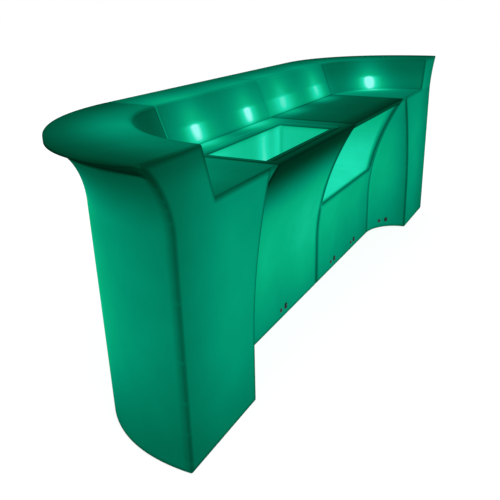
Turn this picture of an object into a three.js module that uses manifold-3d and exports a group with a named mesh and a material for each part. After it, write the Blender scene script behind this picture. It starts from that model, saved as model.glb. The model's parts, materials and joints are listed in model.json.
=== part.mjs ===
import * as THREE from 'three';
import { mergeVertices } from 'three/addons/utils/BufferGeometryUtils.js';
import Module from 'manifold-3d';

// A lit bar counter in four hollow plastic modules: two middle modules in a straight row and two
// rounded end modules. X runs along the bar, Y from the server's side to the customers' side, Z up.
// All sizes are in millimetres. The parts are drawn from the middle of the server's side, and at
// the end they are set back so that the origin is on the floor in the middle of the whole bar.

// Heights of the bar
const ledgeHeight = 1100;
const shelfHeight = 911;
const flareStart = 850;
const coveFoot = 260;

// Places along X, from the middle of the bar
const seamHalf = 915;
const coveTipHalf = 985;
const coveBaseHalf = 1143;
const wallFootHalf = 1392;
const wallTopHalf = 1460;
const endBaseHalf = 1622;
const endTopHalf = 1768;

// Places along Y, from the plane of the end faces and the shelf edge
const coveDepth = 200;
const wallFootDepth = 475;
const wallTopDepth = 550;
const frontWallDepth = 640;
const ledgeFrontDepth = 797;
const wallDraft = 18;

// The lip under the ledge's edge, and how it comes up from nothing at the end faces. Below it the
// wall sweeps out: the less the hollow is below 1, the more the sweep turns level under the lip.
const lipThickness = 35;
const lipOnset = 0.6;
const flareHollow = 0.4;

// How square the rounded corners are in plan: 2 is an ellipse, more is squarer
const wallRoundness = 2.22;
const ledgeRoundness = 2.06;
const innerRoundness = 1.85;
const coveRoundness = 2;

// The moulded shells
const shellWall = 8;
const seamGap = 0.6;
const fitGap = 0.3;
const overrun = 5;

// The opening in each underside, and the plate that closes it
const plateRecess = 10;
const plateThickness = 5;
const sealThickness = 2;
const plateMargin = 1;
const flangeWidth = 45;

// The ice well in the shelf of the left middle module
const wellLeft = -858;
const wellRight = -160;
const wellFront = 83;
const wellBack = 342;
const wellDepth = 250;
const wellFootFront = 175;
const rimWidth = 52;
const rimFrontWidth = 34;
const rimDepth = 4;

// The storage niche in the right middle module
const nicheLeft = 26;
const nicheRight = 872;
const nicheSill = 455;
const nicheTop = 878;
const nicheBack = 470;

// The upright light tubes
const innerTubeHalf = 210;
const outerTubeHalf = 700;
const tubeClearance = 10.5;
const endTubeHalf = 1310;
const endTubeDepth = 380;
const tubeRadius = 16;
const tubeWall = 2;
const tubeTop = 1018;
const tubeRoundHeight = 10;
const holderRadius = 30;
const holderFlange = 8;
const holderNeckRadius = 22;
const holderHeight = 42;
const holderSocketDepth = 30;
const coreWidth = 14;
const coreTopGap = 25;
const boardWidth = 9;
const boardThickness = 1.6;

// The battery boxes
const batteryLength = 180;
const batteryWidth = 75;
const batteryHeight = 55;
const batteryCorner = 8;

// The push switches and charging sockets, side by side near the floor
const controlHeight = 50;
const controlSpacing = 52;
const leftControlPlace = -445;
const nearControlPlace = 250;
const farControlPlace = 605;
const endControlTurn = Math.PI / 4;
const collarRadius = 12;
const collarThickness = 2.5;
const barrelRadius = 9;
const barrelLength = 24;
const buttonRadius = 6;
const buttonLength = 9;
const buttonProud = 3;
const buttonTravel = 2;
const jackRadius = 5;
const jackDepth = 14;
const pinRadius = 1.2;
const flapRadius = 11;
const flapThickness = 3;
const flapAxisUp = 14.5;
const knuckleRadius = 2.2;
const knuckleLength = 9;
const earThickness = 2.4;
const earHeight = 6;
const spotRadius = 21;
const stubRadius = 1.1;

// Holes for the plate screws, and the straps with welded studs that hold the modules together
const screwHoleRadius = 2.9;
const strapDepth = 590;
const strapFoot = 290;
const strapTop = 1045;
const strapWidth = 32;
const strapThickness = 4;
const studRadius = 4;
const studGap = 0.5;
const studTail = 12;
const studLowHeight = 340;
const studHighHeight = 1005;

// Steps of the curved surfaces
const quarterSteps = 14;
const coveSteps = 5;
const edgeSteps = 2;
const flareSteps = 5;
const quarterTurn = Math.PI / 2;
const roundSides = 12;
const fastenerSides = 6;
const openLimit = endTopHalf + ledgeHeight;

const wasm = await Module();
wasm.setup();

const mix = THREE.MathUtils.lerp;
const clamp = THREE.MathUtils.clamp;
const range = (count) => Array.from({ length: count }, (_, index) => index);

// A closed three.js shape as a solid that can be joined and cut
function solid(geometry) {
  const bare = geometry.clone();
  bare.deleteAttribute('normal');
  bare.deleteAttribute('uv');
  const merged = mergeVertices(bare);
  const vertProperties = new Float32Array(merged.attributes.position.array);
  const triVerts = new Uint32Array(merged.index.array);
  const made = new wasm.Manifold(new wasm.Mesh({ numProp: 3, vertProperties, triVerts }));
  if (made.volume() > 0) return made;
  const turned = triVerts.map((_, place) => triVerts[place - (place % 3) + 2 - (place % 3)]);
  return new wasm.Manifold(new wasm.Mesh({ numProp: 3, vertProperties, triVerts: turned }));
}

function geometryOf(made) {
  const mesh = made.getMesh();
  const geometry = new THREE.BufferGeometry();
  geometry.setAttribute('position', new THREE.BufferAttribute(mesh.vertProperties.slice(), 3));
  geometry.setIndex(new THREE.BufferAttribute(mesh.triVerts.slice(), 1));
  geometry.computeVertexNormals();
  return geometry;
}

function block(x0, x1, y0, y1, z0, z1) {
  const geometry = new THREE.BoxGeometry(x1 - x0, y1 - y0, z1 - z0);
  geometry.translate((x0 + x1) / 2, (y0 + y1) / 2, (z0 + z1) / 2);
  return solid(geometry);
}

// A turned shape from pairs of radius and height, standing on Z
function turnedShape(profile, sides = roundSides) {
  const points = profile.map(([radius, height]) => new THREE.Vector2(radius, height));
  const geometry = new THREE.LatheGeometry(points, sides);
  return solid(geometry.rotateX(Math.PI / 2));
}

const rod = (radius, z0, z1, sides = roundSides) =>
  turnedShape([[0, z0], [radius, z0], [radius, z1], [0, z1]], sides);

const placed = (made, matrix) => made.transform(matrix.elements);
const shifted = (made, x, y, z) => made.translate([x, y, z]);
const mirrored = (made) => made.mirror([1, 0, 0]);

const lipFoot = (turn) => ledgeHeight - lipThickness * Math.sin(turn) ** lipOnset;

// The customers' wall leans out a little, then sweeps out to the lip under the ledge
function outerReach(height, turn = quarterTurn) {
  const lean = wallDraft * clamp(height / flareStart, 0, 1);
  const rise = clamp((height - flareStart) / (lipFoot(turn) - flareStart), 0, 1);
  const share = 1 - (1 - rise * rise) ** mix(1, flareHollow, Math.sin(turn) ** lipOnset);
  return {
    along: mix(endBaseHalf - seamHalf + lean, endTopHalf - seamHalf, share),
    deep: mix(frontWallDepth + lean, ledgeFrontDepth, share),
    roundness: mix(wallRoundness, ledgeRoundness, share),
  };
}

// The server's wall falls away from the shelf edge in a long cove
function coveReach(height) {
  const rise = Math.max(height - coveFoot, 0) / (shelfHeight - coveFoot);
  const share = 1 - rise * rise;
  return {
    along: mix(coveTipHalf, coveBaseHalf, share) - seamHalf,
    deep: coveDepth * share,
    roundness: coveRoundness,
  };
}

// The wall between the shelf and the ledge leans back from the server
function backboardReach(height) {
  const share = Math.max(height - shelfHeight, 0) / (ledgeHeight - shelfHeight);
  return {
    along: mix(wallFootHalf, wallTopHalf, share) - seamHalf,
    deep: mix(wallFootDepth, wallTopDepth, share),
    roundness: innerRoundness,
  };
}

const middleTubeDepth = backboardReach(tubeTop).deep + shellWall + tubeClearance + tubeRadius;

// A line round a rounded corner, from the end face to the seam, at its height for each turn
function quarter(reachAt, grow, heightAt) {
  return range(quarterSteps + 1).map((step) => {
    const turn = (step / quarterSteps) * quarterTurn;
    const height = heightAt(turn);
    const reach = reachAt(height, turn);
    const power = 2 / reach.roundness;
    const across = step === quarterSteps ? 0 : Math.cos(turn) ** power;
    const up = step === 0 ? 0 : Math.sin(turn) ** power;
    return [seamHalf + (reach.along + grow) * across, (reach.deep + grow) * up, height];
  });
}

function steps(low, high, count) {
  return range(count + 1).map((step) => mix(low, high, step / count));
}

// Heights where the sections are drawn, below and above the shelf
const lowerHeights = (floor, shelf) => [
  floor,
  ...steps(coveFoot, flareStart, coveSteps),
  ...steps(flareStart, shelf, edgeSteps).slice(1),
];

// The outer wall's heights above the shelf come closer together towards the foot of the lip
function flareHeights(inset, turn = quarterTurn) {
  const shelf = shelfHeight - inset;
  const ledge = ledgeHeight - inset;
  const foot = Math.min(lipFoot(turn) + inset, ledge);
  const flare = steps(0, 1, flareSteps).map((share) => mix(foot, shelf, (1 - share) ** 2));
  return [...flare, ledge];
}

// Rings with equal counts of points, joined into one closed body
function joinedRings(rings) {
  const count = rings[0].length;
  const flat = rings[0].map(([x, y]) => new THREE.Vector2(x, y));
  const last = rings[rings.length - 1].map(([x, y]) => new THREE.Vector2(x, y));
  const top = (rings.length - 1) * count;
  const faces = [];
  for (const [a, b, c] of THREE.ShapeUtils.triangulateShape(flat, [])) faces.push(a, c, b);
  for (const [a, b, c] of THREE.ShapeUtils.triangulateShape(last, [])) {
    faces.push(top + a, top + b, top + c);
  }
  for (let ring = 0; ring < rings.length - 1; ring += 1) {
    for (let place = 0; place < count; place += 1) {
      const next = (place + 1) % count;
      const low = ring * count;
      const high = low + count;
      faces.push(low + place, low + next, high + next);
      faces.push(low + place, high + next, high + place);
    }
  }
  const geometry = new THREE.BufferGeometry();
  const places = new Float32Array(rings.flat(2));
  geometry.setAttribute('position', new THREE.BufferAttribute(places, 3));
  geometry.setIndex(faces);
  return solid(geometry);
}

// The outer wall drawn in by the inset, also at its sweep, where the inside rises by as much
const drawnIn = (inset) => (height, turn) => outerReach(height - inset, turn);

// One ring of the end module: out along the outer wall, back along an inner one
function endRing(inner, inset, outerHeight, innerHeight) {
  const out = quarter(drawnIn(inset), -inset, outerHeight);
  return [...out, ...quarter(inner, inset, () => innerHeight).reverse()];
}

// The right end module's outer form, drawn in by the inset on every side
function endForm(inset, floor) {
  const shelf = shelfHeight - inset;
  const ledge = ledgeHeight - inset;
  const lower = lowerHeights(floor, shelf).map((height) =>
    endRing(coveReach, inset, () => height, height));
  const upper = flareHeights(inset, 0).map((height, place) =>
    endRing(backboardReach, inset, (turn) => flareHeights(inset, turn)[place], height));
  const form = joinedRings([...lower, ...upper]);
  const side = seamHalf + Math.max(inset, seamGap / 2);
  return form.intersect(block(side, openLimit, inset, openLimit, floor, ledge));
}

// A level slab that follows the end module's foot
function endSlab(inset, low, high) {
  const rings = [low, high].map((height) =>
    endRing(coveReach, inset, () => 0, 0).map(([x, y]) => [x, y, height]));
  const side = seamHalf + Math.max(inset, seamGap / 2);
  return joinedRings(rings).intersect(block(side, openLimit, inset, openLimit, low, high));
}

// The section of a middle module in Y and Z, drawn in by the inset
function middleSection(inset, floor) {
  const shelf = shelfHeight - inset;
  const ledge = ledgeHeight - inset;
  const lower = lowerHeights(floor, shelf);
  const outer = [...lower, ...flareHeights(inset).slice(1)].map((height) =>
    [drawnIn(inset)(height).deep - inset, height]);
  const cove = lower.map((height) => [coveReach(height).deep + inset, height]);
  const section = [
    ...outer,
    [backboardReach(ledge).deep + inset, ledge],
    [backboardReach(shelf).deep + inset, shelf],
    ...cove.reverse(),
  ];
  return new THREE.Shape(section.map(([y, z]) => new THREE.Vector2(y, z)));
}

// A shape drawn in Y and Z, run along X
function runAlongX(shape, x0, x1) {
  const geometry = new THREE.ExtrudeGeometry(shape, { depth: x1 - x0, bevelEnabled: false });
  geometry.rotateX(Math.PI / 2);
  geometry.rotateZ(Math.PI / 2);
  return solid(geometry.translate(x0, 0, 0));
}

const middleEdges = (isRight) => (isRight
  ? [seamGap / 2, seamHalf - seamGap / 2]
  : [seamGap / 2 - seamHalf, -seamGap / 2]);

function middleForm(isRight, inset, floor) {
  const [x0, x1] = middleEdges(isRight);
  return runAlongX(middleSection(inset, floor), x0 + inset, x1 - inset);
}

function middleSlab(isRight, inset, low, high) {
  const [x0, x1] = middleEdges(isRight);
  const back = coveDepth + inset;
  return block(x0 + inset, x1 - inset, back, frontWallDepth - inset, low, high);
}

// The ice well: its front wall leans back to stay behind the cove
function wellForm(grow) {
  const floor = shelfHeight - wellDepth - grow;
  const top = shelfHeight + overrun;
  const lean = (wellFootFront - wellFront) / wellDepth;
  const front = wellFront - lean * overrun - grow;
  const points = [
    [front, top],
    [wellFootFront - grow, floor],
    [wellBack + grow, floor],
    [wellBack + grow, top],
  ];
  const shape = new THREE.Shape(points.map(([y, z]) => new THREE.Vector2(y, z)));
  return runAlongX(shape, wellLeft - grow, wellRight + grow);
}

const wellRim = () => block(
  wellLeft - rimFrontWidth, wellRight + rimWidth,
  wellFront - rimFrontWidth, wellBack + rimWidth,
  shelfHeight - rimDepth, shelfHeight + overrun,
);

const nicheForm = (grow) => block(
  nicheLeft - grow, nicheRight + grow,
  -overrun, nicheBack + grow,
  nicheSill - grow, nicheTop + grow,
);

// The four modules, with the slabs that follow their feet
const modules = [
  {
    name: 'left_end',
    form: (inset, floor) => mirrored(endForm(inset, floor)),
    slab: (inset, low, high) => mirrored(endSlab(inset, low, high)),
    screws: endScrewPlaces().map(([x, y]) => [-x, y]),
  },
  {
    name: 'left_centre',
    form: (inset, floor) => middleForm(false, inset, floor),
    slab: (inset, low, high) => middleSlab(false, inset, low, high),
    screws: middleScrewPlaces(false),
  },
  {
    name: 'right_centre',
    form: (inset, floor) => middleForm(true, inset, floor),
    slab: (inset, low, high) => middleSlab(true, inset, low, high),
    screws: middleScrewPlaces(true),
  },
  {
    name: 'right_end',
    form: endForm,
    slab: endSlab,
    screws: endScrewPlaces(),
  },
];

// Screws run down the middle of the flange
function middleScrewPlaces(isRight) {
  const inset = shellWall + flangeWidth / 2;
  const [x0, x1] = middleEdges(isRight);
  const back = coveDepth + inset;
  const front = frontWallDepth - inset;
  const along = [x0 + inset, (x0 + x1) / 2, x1 - inset];
  return along.flatMap((x) => [[x, back], [x, front]]);
}

function endScrewPlaces() {
  const inset = shellWall + flangeWidth / 2;
  const outer = quarter(outerReach, -inset, () => 0);
  const inner = quarter(coveReach, inset, () => 0);
  const middle = Math.round(quarterSteps / 2);
  return [
    [outer[0][0], inset],
    outer[middle],
    [seamHalf + inset, outer[quarterSteps][1]],
    [seamHalf + inset, inner[quarterSteps][1]],
    inner[middle],
    [inner[0][0], inset],
  ];
}

// Where a push switch or a socket sits: X is level, Y is up, Z points out of the wall
function controlFrame(x, y, out) {
  const level = new THREE.Vector3(-out.y, out.x, 0);
  const up = new THREE.Vector3(0, 0, 1);
  return new THREE.Matrix4().makeBasis(level, up, out).setPosition(x, y, controlHeight);
}

const middleControl = (x) => controlFrame(x, coveDepth, new THREE.Vector3(0, -1, 0));

function endControl(side, turn) {
  const { along, deep } = coveReach(0);
  const x = along * Math.cos(turn);
  const y = deep * Math.sin(turn);
  const out = new THREE.Vector3(-side * x / along ** 2, -y / deep ** 2, 0).normalize();
  return controlFrame(side * (seamHalf + x), y, out);
}

function middleUnit(place) {
  return {
    button: middleControl(place - controlSpacing / 2),
    socket: middleControl(place + controlSpacing / 2),
    battery: [place, middleTubeDepth],
  };
}

function endUnit(side) {
  const half = controlSpacing / (coveReach(0).along + coveReach(0).deep);
  return {
    button: endControl(side, endControlTurn + side * half),
    socket: endControl(side, endControlTurn - side * half),
    battery: [side * endTubeHalf, endTubeDepth],
  };
}

// Each light unit has its switch, its socket and its battery box, in one module
const units = [
  { name: 'left_end', module: 'left_end', ...endUnit(-1) },
  { name: 'left_centre', module: 'left_centre', ...middleUnit(leftControlPlace) },
  { name: 'right_centre', module: 'right_centre', ...middleUnit(nearControlPlace) },
  { name: 'right_outer', module: 'right_centre', ...middleUnit(farControlPlace) },
  { name: 'right_end', module: 'right_end', ...endUnit(1) },
];

const tubes = [
  { name: 'left_end', x: -endTubeHalf, y: endTubeDepth },
  { name: 'left_outer', x: -outerTubeHalf, y: middleTubeDepth },
  { name: 'left_inner', x: -innerTubeHalf, y: middleTubeDepth },
  { name: 'right_inner', x: innerTubeHalf, y: middleTubeDepth },
  { name: 'right_outer', x: outerTubeHalf, y: middleTubeDepth },
  { name: 'right_end', x: endTubeHalf, y: endTubeDepth },
];

const seams = [
  { name: 'left', x: -seamHalf },
  { name: 'centre', x: 0 },
  { name: 'right', x: seamHalf },
];
const studHeights = [studLowHeight, studHighHeight];

// A rod along X at one stud of a seam
function studRod(radius, from, to, height) {
  const made = rod(radius, from, to, fastenerSides).rotate([0, 90, 0]);
  return shifted(made, 0, strapDepth, height);
}

function studBores({ x }) {
  const half = shellWall + overrun;
  return studHeights.map((height) =>
    shifted(studRod(studRadius + studGap, -half, half, height), x, 0, 0));
}

// The hole for a barrel, with a flat spot on the wall for its collar and ears
function controlBore(frame) {
  const depth = shellWall + overrun;
  const bore = rod(barrelRadius + fitGap, -depth, overrun);
  return placed(bore.add(rod(spotRadius, 0, overrun)), frame);
}

const floorLevel = plateRecess + shellWall;
const plateTop = plateRecess - sealThickness - 2 * fitGap;
const plateBottom = plateTop - plateThickness;

const screwBore = ([x, y], low, high) =>
  shifted(rod(screwHoleRadius, low, high, fastenerSides), x, y, 0);

function shell({ name, form, slab, screws }) {
  const opening = slab(shellWall + flangeWidth, 0, floorLevel + overrun);
  let outside = form(0, 0).subtract(slab(shellWall, -overrun, plateRecess)).subtract(opening);
  let hollow = form(shellWall, floorLevel);
  if (name === 'left_centre') {
    outside = outside.subtract(wellForm(0)).subtract(wellRim());
    hollow = hollow.subtract(wellForm(shellWall));
  }
  if (name === 'right_centre') {
    outside = outside.subtract(nicheForm(0));
    hollow = hollow.subtract(nicheForm(shellWall));
  }
  let made = outside.subtract(hollow);
  for (const unit of units.filter(({ module }) => module === name)) {
    made = made.subtract(controlBore(unit.button)).subtract(controlBore(unit.socket));
  }
  for (const bore of seams.flatMap(studBores)) made = made.subtract(bore);
  for (const place of screws) made = made.subtract(screwBore(place, 0, floorLevel + overrun));
  return made;
}

function basePlate({ slab, screws }) {
  let made = slab(shellWall + plateMargin, plateBottom, plateTop);
  for (const place of screws) made = made.subtract(screwBore(place, 0, plateRecess));
  return made;
}

function baseSeal({ slab, screws }) {
  const low = plateTop + fitGap;
  const high = low + sealThickness;
  let made = slab(shellWall + plateMargin, low, high);
  made = made.subtract(slab(shellWall + flangeWidth, 0, floorLevel));
  for (const place of screws) made = made.subtract(screwBore(place, 0, floorLevel));
  return made;
}

// A strap lies on the wall to the left of a seam, and its studs pass through both walls
function seamStrap({ x }) {
  const face = seamGap / 2 + shellWall + fitGap;
  const half = strapWidth / 2;
  const back = strapDepth - half;
  const front = strapDepth + half;
  let made = block(-face - strapThickness, -face, back, front, strapFoot, strapTop);
  for (const height of studHeights) {
    made = made.add(studRod(studRadius, -face - strapThickness / 2, face + studTail, height));
  }
  return shifted(made, x, 0, 0);
}

// The light tubes stand in holders on the base plates
const holderFoot = plateTop + fitGap;
const socketFloor = holderFoot + holderHeight - holderSocketDepth;

function tubeHolder({ x, y }) {
  const bore = tubeRadius + fitGap;
  const top = holderFoot + holderHeight;
  const profile = [
    [0, holderFoot],
    [holderRadius, holderFoot],
    [holderRadius, holderFoot + holderFlange],
    [holderNeckRadius, holderFoot + holderFlange],
    [holderNeckRadius, top],
    [bore, top],
    [bore, socketFloor],
    [0, socketFloor],
  ];
  return shifted(turnedShape(profile), x, y, 0);
}

function lightTube({ x, y }) {
  const foot = socketFloor + fitGap;
  const inner = tubeRadius - tubeWall;
  const shoulder = tubeTop - tubeRoundHeight;
  const profile = [
    [inner, foot],
    [tubeRadius, foot],
    [tubeRadius, shoulder],
    [tubeRadius - tubeRoundHeight, tubeTop],
    [0, tubeTop],
    [0, tubeTop - tubeWall],
    [inner - tubeRoundHeight, tubeTop - tubeWall],
    [inner, shoulder - tubeWall],
    [inner, foot],
  ];
  return shifted(turnedShape(profile), x, y, 0);
}

// An aluminium bar of square section with a strip of lights let into each broad face
function lightCore({ x, y }) {
  const foot = socketFloor + fitGap;
  const top = tubeTop - coreTopGap;
  const half = coreWidth / 2;
  const halfBoard = boardWidth / 2;
  const outline = [
    [-halfBoard, -half], [halfBoard, -half],
    [halfBoard, -half + boardThickness], [half, -half + boardThickness],
    [half, half - boardThickness], [halfBoard, half - boardThickness],
    [halfBoard, half], [-halfBoard, half],
    [-halfBoard, half - boardThickness], [-half, half - boardThickness],
    [-half, -half + boardThickness], [-halfBoard, -half + boardThickness],
  ];
  const shape = new THREE.Shape(outline.map(([u, v]) => new THREE.Vector2(u, v)));
  const geometry = new THREE.ExtrudeGeometry(shape, { depth: top - foot, bevelEnabled: false });
  return solid(geometry.translate(x, y, foot));
}

// A battery box with cut corners, on the server's side of the tube holders
function batteryBox({ battery: [x, tubeDepth] }) {
  const half = batteryLength / 2;
  const deep = batteryWidth / 2;
  const corner = batteryCorner;
  const shape = new THREE.Shape();
  shape.moveTo(corner - half, -deep);
  shape.lineTo(half - corner, -deep);
  shape.lineTo(half, corner - deep);
  shape.lineTo(half, deep - corner);
  shape.lineTo(half - corner, deep);
  shape.lineTo(corner - half, deep);
  shape.lineTo(-half, deep - corner);
  shape.lineTo(-half, corner - deep);
  const geometry = new THREE.ExtrudeGeometry(shape, { depth: batteryHeight, bevelEnabled: false });
  return solid(geometry.translate(x, tubeDepth - holderRadius - batteryWidth, holderFoot));
}

// The push switch: a collared barrel through the wall, with its button in the bore. The bore is
// as deep as the button's travel needs.
const collarFace = fitGap + collarThickness;
const buttonFoot = collarFace + buttonProud - buttonLength;

function switchBody({ button }) {
  const bore = buttonRadius + fitGap;
  const boreFloor = buttonFoot - buttonTravel - fitGap;
  const profile = [
    [0, collarFace - barrelLength],
    [barrelRadius, collarFace - barrelLength],
    [barrelRadius, fitGap],
    [collarRadius, fitGap],
    [collarRadius, collarFace],
    [bore, collarFace],
    [bore, boreFloor],
    [0, boreFloor],
  ];
  return placed(turnedShape(profile), button);
}

function pushButton({ button }) {
  return placed(rod(buttonRadius, buttonFoot, collarFace + buttonProud), button);
}

// Two ears stand beside the socket's collar and hold the flap's stubs
const earPlace = knuckleLength / 2 + fitGap;
const flapFace = collarFace + fitGap;
const axisOut = flapFace + flapThickness / 2;

function sidewaysRod(radius, from, to) {
  const made = rod(radius, from, to, fastenerSides).rotate([0, 90, 0]);
  return shifted(made, 0, flapAxisUp, axisOut);
}

function chargeSocket({ socket }) {
  const profile = [
    [0, collarFace - barrelLength],
    [barrelRadius, collarFace - barrelLength],
    [barrelRadius, fitGap],
    [collarRadius, fitGap],
    [collarRadius, collarFace],
    [jackRadius, collarFace],
    [jackRadius, collarFace - jackDepth],
    [pinRadius, collarFace - jackDepth],
    [pinRadius, fitGap],
    [0, fitGap],
  ];
  let made = turnedShape(profile);
  const low = flapAxisUp - earHeight / 2;
  const high = flapAxisUp + earHeight / 2;
  const out = axisOut + earHeight / 2;
  for (const side of [-1, 1]) {
    const near = side * earPlace;
    const far = side * (earPlace + earThickness);
    const ear = block(Math.min(near, far), Math.max(near, far), low, high, fitGap, out);
    made = made.add(ear);
  }
  const foot = earPlace + earThickness;
  const joinerTop = axisOut - knuckleRadius - fitGap;
  made = made.add(block(-foot, foot, barrelRadius, high, fitGap, joinerTop));
  const reach = foot + overrun;
  return placed(made.subtract(sidewaysRod(stubRadius + fitGap, -reach, reach)), socket);
}

function chargeFlap({ socket }) {
  const half = knuckleLength / 2;
  let made = rod(flapRadius, flapFace, flapFace + flapThickness);
  made = made.add(block(-half, half, 0, flapAxisUp, flapFace, flapFace + flapThickness));
  made = made.add(sidewaysRod(knuckleRadius, -half, half));
  const reach = earPlace + earThickness;
  return placed(made.add(sidewaysRod(stubRadius, -reach, reach)), socket);
}

// Finishes of the pieces
const finishes = {
  shell: { color: 0x12a77c, roughness: 0.42, metalness: 0 },
  plate: { color: 0x2b2f31, roughness: 0.6, metalness: 0 },
  seal: { color: 0x17191a, roughness: 0.85, metalness: 0 },
  steel: { color: 0xb9bcc0, roughness: 0.35, metalness: 1 },
  holder: { color: 0xe9ebe8, roughness: 0.5, metalness: 0 },
  tube: { color: 0xd8fff2, roughness: 0.3, metalness: 0 },
  core: { color: 0xc3c7ca, roughness: 0.4, metalness: 1 },
  battery: { color: 0x1f2a33, roughness: 0.55, metalness: 0 },
  control: { color: 0x1b1d1e, roughness: 0.5, metalness: 0 },
  button: { color: 0x3a3f42, roughness: 0.45, metalness: 0 },
  flap: { color: 0x141516, roughness: 0.9, metalness: 0 },
};

const bar = new THREE.Group();

function add(name, made, finish) {
  const geometry = geometryOf(shifted(made, 0, -ledgeFrontDepth / 2, 0));
  const mesh = new THREE.Mesh(geometry, new THREE.MeshStandardMaterial(finishes[finish]));
  mesh.name = name;
  bar.add(mesh);
}

for (const module of modules) {
  add(`${module.name}_shell`, shell(module), 'shell');
  add(`${module.name}_base_plate`, basePlate(module), 'plate');
  add(`${module.name}_base_seal`, baseSeal(module), 'seal');
}
for (const seam of seams) add(`${seam.name}_seam_strap`, seamStrap(seam), 'steel');

for (const tube of tubes) {
  add(`${tube.name}_tube_holder`, tubeHolder(tube), 'holder');
  add(`${tube.name}_light_tube`, lightTube(tube), 'tube');
  add(`${tube.name}_light_core`, lightCore(tube), 'core');
}

for (const unit of units) {
  add(`${unit.name}_battery_box`, batteryBox(unit), 'battery');
  add(`${unit.name}_switch_body`, switchBody(unit), 'control');
  add(`${unit.name}_push_button`, pushButton(unit), 'button');
  add(`${unit.name}_charge_socket`, chargeSocket(unit), 'control');
  add(`${unit.name}_charge_flap`, chargeFlap(unit), 'flap');
}

export default bar;
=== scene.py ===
import json
import math
from types import SimpleNamespace

import bmesh
import bpy
import numpy as np
from mathutils import Matrix, Vector
from mathutils.kdtree import KDTree

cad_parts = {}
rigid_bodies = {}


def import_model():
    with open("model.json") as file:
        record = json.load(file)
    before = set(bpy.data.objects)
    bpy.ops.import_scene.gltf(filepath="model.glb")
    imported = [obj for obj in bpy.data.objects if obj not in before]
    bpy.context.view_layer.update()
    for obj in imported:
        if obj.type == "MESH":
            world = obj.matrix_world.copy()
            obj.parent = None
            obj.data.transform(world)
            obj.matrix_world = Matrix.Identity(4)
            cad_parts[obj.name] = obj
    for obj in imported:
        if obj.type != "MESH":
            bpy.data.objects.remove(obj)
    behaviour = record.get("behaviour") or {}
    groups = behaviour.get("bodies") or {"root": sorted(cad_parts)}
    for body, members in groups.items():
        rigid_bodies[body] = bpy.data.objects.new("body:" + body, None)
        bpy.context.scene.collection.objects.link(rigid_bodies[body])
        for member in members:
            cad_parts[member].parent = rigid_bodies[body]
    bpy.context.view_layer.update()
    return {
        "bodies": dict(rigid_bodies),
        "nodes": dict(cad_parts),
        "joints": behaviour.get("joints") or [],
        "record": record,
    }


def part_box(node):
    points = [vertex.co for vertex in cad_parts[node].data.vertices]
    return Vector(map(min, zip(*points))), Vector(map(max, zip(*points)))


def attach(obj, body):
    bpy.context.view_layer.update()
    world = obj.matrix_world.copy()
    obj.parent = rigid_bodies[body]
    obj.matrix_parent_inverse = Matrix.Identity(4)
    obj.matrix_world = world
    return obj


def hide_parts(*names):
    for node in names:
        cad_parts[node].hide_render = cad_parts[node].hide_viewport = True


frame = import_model()


# The viewpoint: the camera looks along the server's side of the bar from beyond its left end,
# from a little above the ledge. It was fitted to the bar's straight edges and to the outline
# of its near end, so its angles and its place are real angles and metres.
image_size = 500
focal_pixels = 656.765
camera_yaw = math.radians(25.0906)
camera_pitch = math.radians(20.3084)
camera_roll = math.radians(-0.3677)
centre_column = 277.917
centre_line = 237.704
camera_left = 3.1269
camera_behind = 1.0295
camera_height = 1.5174
film_width = 36

low_corner, high_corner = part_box("right_end_shell")
server_side = low_corner.y

ahead = Vector((
    math.cos(camera_yaw) * math.cos(camera_pitch),
    math.sin(camera_yaw) * math.cos(camera_pitch),
    -math.sin(camera_pitch),
))
level = Vector((math.sin(camera_yaw), -math.cos(camera_yaw), 0))
upright = level.cross(ahead)
across = level * math.cos(camera_roll) + upright * math.sin(camera_roll)
upward = upright * math.cos(camera_roll) - level * math.sin(camera_roll)


def new_object(name, data):
    made = bpy.data.objects.new(name, data)
    bpy.context.scene.collection.objects.link(made)
    return made


lens = bpy.data.cameras.new("viewpoint")
lens.sensor_width = film_width
lens.lens = focal_pixels / image_size * film_width
lens.shift_x = (image_size / 2 - centre_column) / image_size
lens.shift_y = (centre_line - image_size / 2) / image_size
camera = new_object("viewpoint", lens)
turned = Matrix((across, upward, -ahead)).transposed().to_4x4()
stand = Vector((-camera_left, server_side - camera_behind, camera_height))
camera.matrix_world = Matrix.Translation(stand) @ turned
bpy.context.scene.camera = camera


# The four shells: rotation-moulded polyethylene, 8 mm thick, each one a hollow box that glows
# from inside. The middle two are one section run straight between the seams, and the end two
# are the same section swept round a rounded corner. Every moulded edge has a small radius.
ledge_height = high_corner.z
end_top_half = high_corner.x
ledge_front = high_corner.y - low_corner.y
shelf_height = 0.911
flare_start = 0.850
cove_foot = 0.260
seam_half = 0.915
cove_tip_half = 0.985
cove_base_half = 1.143
wall_foot_half = 1.392
wall_top_half = 1.460
end_base_half = 1.622
cove_depth = 0.200
wall_foot_depth = 0.475
wall_top_depth = 0.550
front_wall_depth = 0.640
wall_draft = 0.018
lip_thickness = 0.035
lip_onset = 0.6
flare_hollow = 0.4
wall_roundness = 2.22
ledge_roundness = 2.06
inner_roundness = 1.85
cove_roundness = 2
shell_wall = 0.008
seam_gap = 0.0006
fit_gap = 0.0003
overrun = 0.005
plate_recess = 0.010
flange_width = 0.045

well_left, well_right = -0.858, -0.160
well_front, well_back = 0.083, 0.342
well_depth = 0.250
well_foot_front = 0.175
rim_width = 0.052
rim_front_width = 0.034
rim_depth = 0.004

niche_left, niche_right = 0.026, 0.872
niche_sill, niche_top = 0.455, 0.878
niche_back = 0.470

fine_step = 0.011
fine_turns = 110
first_turn = math.radians(2.2)
coarse_step = 0.05
coarse_turns = 20
slab_steps = 15
pocket_rows = 18
moulded_radius = 0.008
moulded_segments = 3
shared_room, own_room = 0.45, 0.85
lip_edge_measure = 0.97
lip_foot_softness = 0.25
sharp_angle = math.radians(30)
shading_angle = math.radians(36)
merge_distance = 1e-5
count_slack = 1e-6


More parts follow.
